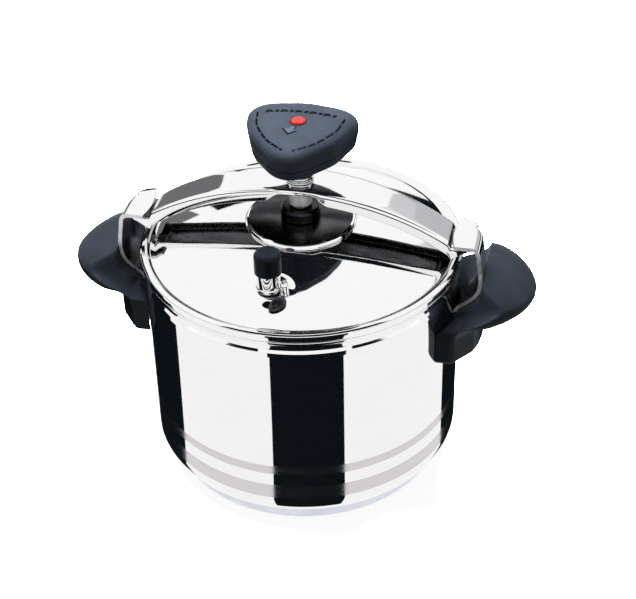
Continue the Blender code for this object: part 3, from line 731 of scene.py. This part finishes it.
def lid():
    """Drawn lid: dome, shoulder groove, rolled edge and skirt."""
    dome_end = lid_height(105.5, 0)
    edge = [(105.5, dome_end), (107.4, 172.9, 1.6), (108.9, 174.1, 1.0), (110.6, 174.6, 1.0)]
    edge += [(112.6, 174.6, 1.0), (113.9, 173.6, 1.0), (114.2, 172.0, 0.8), (114.2, 169.1, 0.4)]
    edge += [(113.3, 168.9, 0.3), (113.1, 171.8, 0.8), (112.0, 172.9, 0.6), (109.6, 172.9, 0.6)]
    edge += [(107.9, 171.8, 0.6), (105.5, dome_end - LID_T)]
    radii = [9.3, 12, 18, 25, 32, 38, 44, 50, 55]
    radii += [55 + 1.25 * i for i in range(1, 35)] + [99.5, 101.5, 103.5]
    steps = 288

    def face_ring(r, drop):
        flat = circle(r, 0, steps)
        return [(x * MM, y * MM, (lid_height(x, y) - drop) * MM) for x, y, _ in flat]

    rings = [face_ring(r, 0) for r in radii]
    rings += [circle(r * MM, z * MM, steps) for r, z in rounded(edge)]
    rings += [face_ring(r, LID_T) for r in radii[::-1]]
    obj = piece("lid_shell", *joined_rings(rings, loop=True), "polished_steel")
    boolean(obj, hole_tool("valve_housing", 5.0))
    boolean(obj, hole_tool("safety_valve_body", 2.2))
    boolean(obj, hole_tool("safety_plug", 2.6))


def lid_fittings():
    """The turned pieces on and under the lid."""
    ring = [(108.9, 0, 0.4), (112.2, 0, 0.4), (112.2, 2.6, 0.5), (111.4, 3.6, 0.5), (109.9, 3.6, 0.5)]
    turned("lid_gasket", ring + [(108.9, 2.6, 0.5)], "black_rubber", steps=LARGE_ROUND, on_axis=True)
    z0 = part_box("lid_centre_plate")[0].z / MM

    def over_dome(r):
        return LID_TOP - LID_FALL * r * r + GAP - z0

    underside = [(r, over_dome(r)) for r in (9.3, 16, 22, 28, 34, 38)]
    rim = [(39.0, over_dome(39.0), 0.2), (39.0, 191.5 - z0, 0.5)]
    rim += [(37.9, 193.05 - z0, 0.9), (36.4, 193.4 - z0, 1.0)]
    face = [(30, 193.72 - z0, 8), (20, 194.1 - z0, 8), (9.3, 194.3 - z0)]
    plate = turned("lid_centre_plate", underside + rim + face, "polished_steel", steps=ROUND, on_axis=True)
    # The polished plate's upper face is painted dark: a painted reflection of the dark bow above, with light
    # streaks.
    paint(plate, "painted_shade_steel", lambda at, normal: normal.z > 0.5 and hypot(at.x, at.y) < 36.6)
    seat = [(5.4, 0, 0.3), (9.0, 0, 0.5), (9.0, 14.7), (13.4, 14.7, 0.3), (14.0, 15.3, 0.4)]
    seat += [(14.0, 21.4, 0.8), (12.6, 23.4, 0.8), (5.4, 23.4, 0.4)]
    # The seat is painted dark as painted shade, so that it and its mirror image in the lid read dark.
    turned("spindle_seat", seat, "fixing_steel", on_axis=True, look="painted_shade_steel")


# ---------------------------------------------------------------- spindle and knob


def spindle():
    """Spindle with a foot that is held in the seat, and the washer that it turns on."""
    shaft = [(1.9, 0, 0.2), (5.1, 0, 0.4), (5.1, 1.5, 0.1), (4.2, 1.5, 0.1), (4.2, 3.2, 0.1), (5.1, 3.2, 0.1)]
    shaft += [(5.1, 28.4, 0.2), (8.0, 28.4, 0.6), (8.0, 36.2, 0.2), (8.8, 36.5, 0.3), (8.8, 38.5, 0.3)]
    shaft += [(5.9, 38.5, 0.2), (5.9, 79.7, 0.5), (1.9, 79.7, 0.2)]
    turned("spindle", shaft, "fixing_steel", on_axis=True, look="cut_edge")
    washer = [(5.4, 0, 0.2), (7.7, 0, 0.25), (7.7, 0.9, 0.25), (5.4, 0.9, 0.2)]
    turned("thrust_washer", washer, "bronze", on_axis=True)


KNOB_R, KNOB_CORNER, KNOB_TIP = 36.8, 0.12, 0.03


def knob_radius(angle):
    """Three rounded corners at 30, 150 and 270 degrees, with sides that swell a little between them."""
    third = 3 * (angle - radians(30))
    return KNOB_R * (1 + KNOB_CORNER * cos(third) + KNOB_TIP * cos(2 * third))


# Knob levels: height, share of the triangle's size, share of roundness, radius of the round
KNOB_NECK = [(229.0, 0, 1, 10.2), (234.4, 0, 1, 10.9), (236.4, 0.42, 0.75, 13), (239.2, 0.56, 0.3, 14)]
KNOB_SKIRT = [(243.0, 0.76, 0.1, 14), (246.2, 0.92, 0, 14), (247.8, 0.955, 0, 14), (250.0, 0.968, 0, 14)]
KNOB_CREASE = [(252.1, 0.972, 0, 14), (252.5, 0.968, 0, 14), (252.8, 0.953, 0, 14), (253.1, 0.970, 0, 14)]
KNOB_TOP = [(253.6, 0.986, 0, 14), (259.2, 1, 0, 14), (263.6, 0.965, 0, 14), (266.2, 0.885, 0, 14)]
KNOB_TOP += [(267.7, 0.76, 0, 14), (268.3, 0.55, 0, 14), (268.6, 0.35, 0.4, 14), (268.8, 0, 1, 6.2)]
KNOB_STEPS = 144


def knob_top(x, y):
    """Height of the knob's upper face at a point, from its levels."""
    size = hypot(x, y) / knob_radius(atan2(y, x))
    levels = [(s if s else 0.16, z) for z, s, _, _ in curve_through(KNOB_TOP[3:], 6)][::-1]
    for (s0, z0), (s1, z1) in zip(levels, levels[1:]):
        if s0 <= size <= s1:
            return z0 + (z1 - z0) * (size - s0) / max(s1 - s0, 1e-9)
    return levels[0][1]


def knob():
    base_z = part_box("knob_body")[0].z / MM
    levels = curve_through(KNOB_NECK + KNOB_SKIRT, 5) + KNOB_CREASE + curve_through(KNOB_TOP, 6)
    rings = []
    for z, size, roundness, radius in levels:
        ring = []
        for i in range(KNOB_STEPS):
            a = 2 * pi * i / KNOB_STEPS
            r = (1 - roundness) * size * knob_radius(a) + roundness * radius
            ring.append((r * cos(a) * MM, r * sin(a) * MM, (z - base_z) * MM))
        rings.append(ring)
    bore = [(5.7, 268.5), (5.7, 257.2), (8.3, 256.9), (8.3, 229.0)]
    rings += [circle(r * MM, (z - base_z) * MM, KNOB_STEPS) for r, z in bore]
    piece("knob_body", *joined_rings(rings, loop=True), "black_plastic", origin=(0, 0, base_z * MM))
    knob_marks()


def knob_marks():
    """Generic print: a bold dashed row along the back and fine dashes by the other two sides. The arrow is
    raised, drawn flat: a grey face over a black outline that shows on its lower side as painted shade.
    """
    bold, fine = [], []
    for i in range(15):
        x = -24 + 46.5 * i / 14
        y = 13.4 - 2.4 * (x / 24) ** 2
        turn = atan2(-4.8 * x, 24**2)
        bold.append(mark_quad(x, y, turn, 2.5, (3.6, 2.7, 3.2)[i % 3], (1.2, -0.9, 0.5)[i % 3]))
    row = curve_through([(30.2, 9.5), (27.3, -6.0), (20.2, -19.0), (13.0, -28.0), (3.6, -35.2)], 11)
    for side in (-1, 1):
        for i, ((x0, y0), (x1, y1)) in enumerate(zip(row, row[1:])):
            if i % 7 == 5:
                continue
            turn = atan2(y1 - y0, side * (x1 - x0))
            length = 0.7 * hypot(x1 - x0, y1 - y0)
            fine.append(mark_quad(side * (x0 + x1) / 2, (y0 + y1) / 2, turn, length, 1.4, 0.4))
    flat_marks("knob_marks_bold", bold, "mark_black", 0.05)
    flat_marks("knob_marks_fine", fine, "mark_black", 0.25)
    # The black outline shows below the grey face: painted shade of the raised arrow's side.
    arrow = [(-9.2, -10.4), (-3.4, -18.2), (2.4, -12.2), (-0.8, -12.4)]
    arrow += [(0.6, -7.2), (-4.2, -6.6), (-4.8, -10.8)]
    flat_marks("knob_arrow_shaded_side", [arrow], "mark_black")
    middle_x, middle_y = (sum(values) / len(arrow) for values in zip(*arrow))
    inside = [(middle_x + 0.78 * (x - middle_x), middle_y + 0.78 * (y - middle_y) + 0.5) for x, y in arrow]
    flat_marks("knob_arrow", [inside], "mark_grey", 0.08)


def mark_quad(x, y, turn, length, height, lean):
    """A slanting stroke: length along the turned line, height across it, and its far side shifted by lean."""
    corners = [(-length / 2, -height / 2), (length / 2, -height / 2)]
    corners += [(length / 2 + lean, height / 2), (-length / 2 + lean, height / 2)]
    along, across = cos(turn), sin(turn)
    return [(x + along * u - across * v, y + across * u + along * v) for u, v in corners]


def flat_marks(name, outlines, look, lift=0.0):
    """Thin print that lies on the knob's top, or lift above its worked-out height."""
    base_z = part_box("knob_body")[0].z / MM
    points, faces = [], []
    for outline in outlines:
        count, start = len(outline), len(points)
        for drop in (0.35, -0.07 - lift):
            points += [(x * MM, y * MM, (knob_top(x, y) - base_z - drop) * MM) for x, y in outline]
        below, above = range(start, start + count), range(start + count, start + 2 * count)
        faces += [tuple(above), tuple(below)[::-1]]
        for i in range(count):
            j = (i + 1) % count
            faces.append((below[i], below[j], above[j], above[i]))
    origin = (0, 0, base_z * MM)
    piece("knob_body", points, faces, "black_plastic", origin, suffix="_" + name, replace=False, look=look)


def indicator():
    button = [(0, 0), (5.0, 0, 0.3), (5.3, 0.4, 0.3), (5.3, 11.2, 1.2)]
    button += [(4.4, 12.1, 1.2), (2.6, 12.7, 2), (0, 12.95)]
    turned("indicator_button", button, "red_plastic", loop=False, on_axis=True)


# ---------------------------------------------------------------- bow

BOW_TOP, BOW_ARCH_R, BOW_T = 223.7, 192.0, 2.5
BOW_ARCH_X, BOW_FLAT_X, BOW_END_X, BOW_END_Z = 105.0, 107.6, 122.7, 188.5


def bow_top(x):
    """Height of the bow's upper face: an arch that steps down to a level tongue at each end."""
    x = abs(x)
    arch_z = BOW_TOP - BOW_ARCH_R + sqrt(BOW_ARCH_R**2 - min(x, BOW_ARCH_X) ** 2)
    return arch_z + (BOW_END_Z - arch_z) * smoothstep((x - BOW_ARCH_X) / (BOW_FLAT_X - BOW_ARCH_X))


def bow_half_width(x):
    """Half-width of the bow, with the tongue's end rounded in plan."""
    rounding, loss = 5.0, 6.0
    width = 16.5 - 2.9 * (min(abs(x), BOW_FLAT_X) / BOW_FLAT_X) ** 2
    over = max(abs(x) - (BOW_END_X - rounding), 0) / rounding
    return width - loss * (1 - sqrt(max(1 - over * over, 0)))


def bow_web(x):
    """Thickness of the bow's web measured straight down, greater where the web is steep."""
    along = min(abs(x), BOW_ARCH_X)
    slope = along / sqrt(BOW_ARCH_R**2 - along**2)
    middle, half = (BOW_ARCH_X + BOW_FLAT_X) / 2, (BOW_FLAT_X - BOW_ARCH_X) / 2
    step = max(1 - abs(abs(x) - middle) / half, 0)
    if abs(x) > BOW_ARCH_X:
        slope *= max(1 - (abs(x) - BOW_ARCH_X) / (BOW_FLAT_X - BOW_ARCH_X), 0)
    return BOW_T * (sqrt(1 + slope * slope) + 0.6 * step)


def bow_depth(x):
    """Depth of the folded sides: shallow at the spindle, deepest before the ends, none at the tongue's tip."""
    x = abs(x)
    depth = 3.6 + 5.9 * smoothstep((x - 11) / 12) + 1.2 * smoothstep((x - 85) / 20)
    return depth - 7.1 * smoothstep((x - 105) / 15)


def bow():
    """Pressed channel: rounded folds, sides with broken edges, level tongues at its ends."""
    stations = [1.5 * i for i in range(70)]
    stations += [104.5, 105.0, 105.4, 105.8, 106.2, 106.6, 107.0, 107.3, 107.6, 108.6, 110, 112, 114, 116]
    stations += [117.7, 118.7, 119.7, 120.7, 121.4, 121.9, 122.3, 122.5, 122.7]
    stations = [-x for x in stations[:0:-1]] + stations
    rings = []
    for x in stations:
        web = bow_web(x)
        half, depth = bow_half_width(x), max(bow_depth(x), web + 0.5)
        flange = half - BOW_T
        inner = min(1.6, (depth - web) * 0.8)
        corners = [(0, 0), (half, 0, 3.6), (half, -depth, 0.5), (flange, -depth, 0.5)]
        right = rounded(corners + [(flange, -web, inner), (0, -web)], steps=8)
        spaced = right[:1] + [(right[1][0] * k / 4, 0) for k in (1, 2, 3)] + right[1:]
        spaced = spaced[:-1] + [(spaced[-2][0] * k / 4, -web) for k in (3, 2, 1)] + spaced[-1:]
        outline = spaced + [(-y, z) for y, z in spaced[-2:0:-1]]
        rings.append([(x * MM, y * MM, (z - BOW_TOP + bow_top(x)) * MM) for y, z in outline])
    obj = piece("bow", *joined_rings(rings), "polished_steel", origin=(0, 0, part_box("bow")[1].z))
    boolean(obj, tool_mesh("bow_hole", *joined_rings([circle(7.3 * MM, z * MM, 64) for z in (210, 230)])))

    # Painted shade: the bow's underside and inner sides are painted dark where shade falls.
    def inside(at, normal):
        room = abs(at.y) < bow_half_width(at.x) - 1.2
        return room and abs(at.x) < 121 and (normal.z < -0.3 or normal.y * at.y < 0 and abs(normal.y) > 0.3)

    paint(obj, "painted_shade_steel", inside)


def bow_bush():
    bush = [(6.2, 0, 0.2), (9.0, 0, 0.4), (9.0, 1.3, 0.3), (7.0, 1.3, 0.1)]
    bush += [(7.0, 8.3, 0.3), (6.5, 8.8, 0.2), (6.2, 8.8, 0.1)]
    turned("bow_bush", bush, "fixing_steel", on_axis=True)
    ring = [(7.3, 0, 0.2), (9.6, 0, 0.3), (9.6, 1.1, 0.3), (7.3, 1.1, 0.2)]
    turned("bow_retaining_ring", ring, "fixing_steel", on_axis=True)


# ---------------------------------------------------------------- valves


def working_valve():
    turned("valve_gasket", [(5, 0, 0.3), (8, 0, 0.3), (8, 0.85, 0.3), (5, 0.85, 0.3)], "black_rubber")
    housing = [(4.6, 0, 0.3), (4.6, 11.9), (8.6, 11.9, 0.4), (8.6, 14.0, 0.6), (8.1, 14.6, 0.4)]
    housing += [(8.1, 28.9, 0.4), (5.6, 28.9, 0.4), (5.6, 16.6, 0.4), (1.3, 15.4, 0.2), (1.3, 0, 0.2)]
    turned("valve_housing", housing, "polished_steel", steps=96)
    valve_cap()


RIB_PITCH, RIB_HEIGHT = 1.75, 0.4


def valve_cap():
    """Cap with a rounded shoulder, and ribs across its top that run front to back."""
    low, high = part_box("valve_cap")
    height = (high.z - low.z) / MM
    wall = [(0, 10.6), (8.4, 10.6), (8.4, 0), (9.2, 0.4), (9.3, height - 6.4)]
    corner = [(6.0 + 3.3 * cos(radians(a)), height - 4.2 + 3.6 * sin(radians(a))) for a in range(0, 91, 9)]
    top = [(6.0 * (1 - i / 28), height - 0.6 + 0.15 * (i / 28)) for i in range(1, 29)]
    rings = []
    for r, z in supported(rounded(wall) + corner + top):
        ring = []
        for x, y, h in circle(r * MM, z * MM, 160):
            if z > height - 2.5:
                wave = smoothstep((cos(2 * pi * x / MM / RIB_PITCH) + 0.5) / 0.9)
                h += RIB_HEIGHT * MM * wave * smoothstep((8.0 - hypot(x, y) / MM) / 1.6)
            ring.append((x, y, h))
        rings.append(ring)
    # darker copy of the plastic: painted shade
    piece("valve_cap", *joined_rings(rings), "black_plastic", origin=middle_of("valve_cap"), look="cap_plastic_shaded")


def safety_valve():
    body = [(1.9, 0, 0.2), (1.9, 6.75), (3.1, 6.75, 0.3), (3.1, 8.2, 0.3), (2.8, 8.5, 0.2), (2.8, 14.4, 1.5)]
    body += [(2.3, 16.1, 0.8), (1.4, 16.6, 0.2), (1.4, 2, 0.1), (0.7, 1, 0.1), (0.7, 0, 0.1)]
    turned("safety_valve_body", body, "polished_steel", steps=48)
    pin = [(0, 0), (1.1, 0.2, 0.2), (1.1, 15.0, 0.6), (0.5, 15.6, 0.4), (0, 15.6)]
    turned("safety_pin", pin, "polished_steel", loop=False, steps=48)


def safety_plug():
    """Soft oval plug: a glossy domed bead that follows the lid, with a stem and a flange below."""
    x0, y0 = (value / MM for value in middle_of("safety_plug")[:2])
    half_length, half_width, turn = 6.6, 3.7, radians(40)
    surface = lid_height(x0, y0)
    below = rounded([(1.2, -6.0), (3.1, -5.6, 0.4), (3.1, -3.8, 0.3), (2.1, -3.5, 0.2), (2.1, 0.9)])
    rings = [circle(r * MM, z * MM, SMALL_ROUND) for r, z in below]
    above = rounded([(0.32, 0.9), (0.94, 0.9, 0.1), (1, 1.5, 0.2)])
    above += [(cos(a), 1.5 + 2.2 * sin(a)) for a in (radians(9 * i) for i in range(1, 10))]
    for share, height in above:
        ring = []
        for x, y, _ in circle(1, 0, SMALL_ROUND):
            x, y = half_length * share * x, half_width * share * y
            world_x = x0 + x * cos(turn) - y * sin(turn)
            world_y = y0 + x * sin(turn) + y * cos(turn)
            ring.append((x * MM, y * MM, (height + lid_height(world_x, world_y) - surface) * MM))
        rings.append(ring)
    rings.append([(0, 0, 3.7 * MM)])
    origin = (x0 * MM, y0 * MM, surface * MM)
    piece("safety_plug", *joined_rings(rings), "black_rubber", origin, turn, look="plug_rubber")


def keep_cad(**slots):
    """CAD nodes that stay as they are and take a finished material."""
    for slot, nodes in slots.items():
        for node in nodes:
            obj = frame["nodes"][node]
            obj.data.materials.clear()
            obj.data.materials.append(LOOKS[slot])


# ---------------------------------------------------------------- studio

TARGET = Vector((0, 0, 0.09))
AZIMUTH, ELEVATION, DISTANCE, ROLL = radians(13.2), radians(37.42), 1.186, radians(-1.73)
LENS, SHIFT = 90.96, (0.0212, 0.0525)


def direction(azimuth, elevation=0.0):
    """Unit vector towards a point at this azimuth, measured from the camera's side, and elevation."""
    turn = AZIMUTH + azimuth
    return Vector((sin(turn) * cos(elevation), -cos(turn) * cos(elevation), sin(elevation)))


def camera():
    data = bpy.data.cameras.new("camera")
    obj = bpy.data.objects.new("camera", data)
    bpy.context.scene.collection.objects.link(obj)
    back = direction(0, ELEVATION)
    right = Vector((cos(AZIMUTH), sin(AZIMUTH), 0))
    up = back.cross(right)
    side = right * cos(ROLL) + up * sin(ROLL)
    top = up * cos(ROLL) - right * sin(ROLL)
    turn = Matrix((side, top, back)).transposed().to_4x4()
    obj.matrix_world = Matrix.Translation(TARGET + back * DISTANCE) @ turn
    data.lens = LENS
    data.sensor_width = 36
    data.shift_x, data.shift_y = SHIFT
    data.clip_end = 50
    bpy.context.scene.camera = obj


def emitter(name, colour):
    made = bpy.data.materials.new(name)
    made.use_nodes = True
    nodes = made.node_tree.nodes
    nodes.clear()
    glow = nodes.new("ShaderNodeEmission")
    glow.inputs["Color"].default_value = (*colour, 1)
    glow.inputs["Strength"].default_value = 1.0
    out = nodes.new("ShaderNodeOutputMaterial")
    made.node_tree.links.new(glow.outputs["Emission"], out.inputs["Surface"])
    return made


def card(name, points, look, faces=None):
    """A studio card that only reflections see; one flat face unless faces are given."""
    mesh = bpy.data.meshes.new(name)
    mesh.from_pydata(points, [], faces or [tuple(range(len(points)))])
    mesh.materials.append(look)
    obj = bpy.data.objects.new(name, mesh)
    bpy.context.scene.collection.objects.link(obj)
    obj.visible_camera = False
    obj.visible_diffuse = False
    obj.visible_shadow = False
    obj.visible_transmission = False
    obj.visible_volume_scatter = False
    return obj


def floor_fan(name, start, end, look, reach=1.2, z=0.8 * MM):
    """A dark shape on the table that the pot's wall mirrors as an upright band between two of its angles."""
    count = 16
    near, far = [], []
    for i in range(count + 1):
        a = start + (end - start) * i / count
        foot = direction(a) * (POT_R + 0.5) * MM
        near.append(foot + Vector((0, 0, z)))
        far.append(foot + direction(2 * a + radians(2)) * reach + Vector((0, 0, z)))
    return card(name, near + far[::-1], look)


def table_disc(name, radius, z, look):
    rim = [direction(2 * pi * i / 64) * radius for i in range(64)]
    return card(name, [point + Vector((0, 0, z)) for point in rim], look)


SKY_R, SKY_Z = 2.6, 0.19


def sky_patch(name, azimuths, elevations, look):
    """Part of a dome round the cooker, between two azimuths and two elevations in degrees."""
    across, up = 24, 10
    points, faces = [], []
    for j in range(up + 1):
        elevation = radians(elevations[0] + (elevations[1] - elevations[0]) * j / up)
        for i in range(across + 1):
            azimuth = radians(azimuths[0] + (azimuths[1] - azimuths[0]) * i / across)
            points.append(direction(azimuth, elevation) * SKY_R + Vector((0, 0, SKY_Z)))
    for j in range(up):
        for i in range(across):
            a = j * (across + 1) + i
            faces.append((a, a + 1, a + across + 2, a + across + 1))
    return card(name, points, look, faces)


def paper_floor(reach):
    """A plain pale sheet just under the cooker."""
    mesh = bpy.data.meshes.new("floor")
    corners = [(-reach, -reach, 0), (reach, -reach, 0), (reach, reach, 0), (-reach, reach, 0)]
    mesh.from_pydata(corners, [], [(0, 1, 2, 3)])
    obj = bpy.data.objects.new("floor", mesh)
    obj.location.z = -0.2 * MM
    bpy.context.scene.collection.objects.link(obj)
    paper = bpy.data.materials.new("paper")
    paper.use_nodes = True
    shader = paper.node_tree.nodes["Principled BSDF"]
    shader.inputs["Base Color"].default_value = (0.96, 0.96, 0.96, 1)
    shader.inputs["Roughness"].default_value = 0.9
    mesh.materials.append(paper)


def softbox(energy):
    """A broad lamp above and behind the cooker, left out of reflections."""
    lamp = bpy.data.lights.new("softbox", "AREA")
    lamp.shape = "RECTANGLE"
    lamp.size, lamp.size_y = 1.4, 1.1
    lamp.energy = energy
    obj = bpy.data.objects.new("softbox", lamp)
    obj.location = TARGET + direction(radians(190), radians(66)) * 1.6
    obj.rotation_euler = (TARGET - obj.location).to_track_quat("-Z", "Y").to_euler()
    obj.visible_glossy = False
    bpy.context.scene.collection.objects.link(obj)


def studio():
    """White surroundings and floor, one soft lamp, and the cards that the polished steel mirrors."""
    paper_floor(6.0)
    softbox(285)
    world = bpy.data.worlds.new("studio")
    world.use_nodes = True
    background = world.node_tree.nodes["Background"]
    background.inputs["Color"].default_value = (1, 1, 1, 1)
    background.inputs["Strength"].default_value = 1.05
    bpy.context.scene.world = world
    bpy.context.scene.view_settings.view_transform = "Standard"

    white = emitter("white_card", (1, 1, 1))
    black = emitter("black_card", (0.004, 0.006, 0.008))
    slate = emitter("slate_card", (0.165, 0.165, 0.17))
    grey = emitter("grey_card", (0.54, 0.54, 0.56))
    pale = emitter("pale_card", (0.66, 0.66, 0.68))
    paler = emitter("paler_card", (0.80, 0.80, 0.81))
    table_disc("table_white", 3.0, 0.4 * MM, white).visible_diffuse = True
    for place, start, end in (("front", -13.7, 13.0), ("left", -81, -54.5), ("right", 61.6, 90)):
        floor_fan("table_dark_" + place, radians(start), radians(end), black)
    sky_patch("sky_behind", (150, 196), (7, 20), black)
    sky_patch("sky_behind_left", (199, 216), (-1, 18.5), slate)
    sky_patch("sky_behind_right", (122, 150), (10, 26.5), grey)
    sky_patch("sky_right_above", (122, 150), (26.5, 31), pale)
    sky_patch("sky_right_top", (122, 150), (31, 37), paler)
    sky_patch("sky_low_right", (118, 150), (1.5, 10), black)
    sky_patch("sky_left", (222, 330), (2, 20), black)
    sky_patch("sky_right", (30, 118), (2, 20), black)
    sky_patch("sky_over_camera", (-70, 70), (44, 72), black)


def main():
    pot()
    base()
    for word, side in SIDES:
        hook_bracket(word, side)
        handle(word, side)
    lid()
    lid_fittings()
    spindle()
    knob()
    indicator()
    bow()
    bow_bush()
    working_valve()
    safety_valve()
    safety_plug()
    fixings = [f"handle_{kind}_{word}" for kind in ("screw", "washer") for word, _ in SIDES]
    fixings += ["seat_nut", "spindle_retaining_ring", "knob_insert", "indicator_rod"]
    fixings += ["valve_nut", "valve_needle", "valve_spring"]
    keep_cad(fixing_steel=fixings, aluminium=["base_core"], black_rubber=["indicator_seal"])
    camera()
    studio()


main()
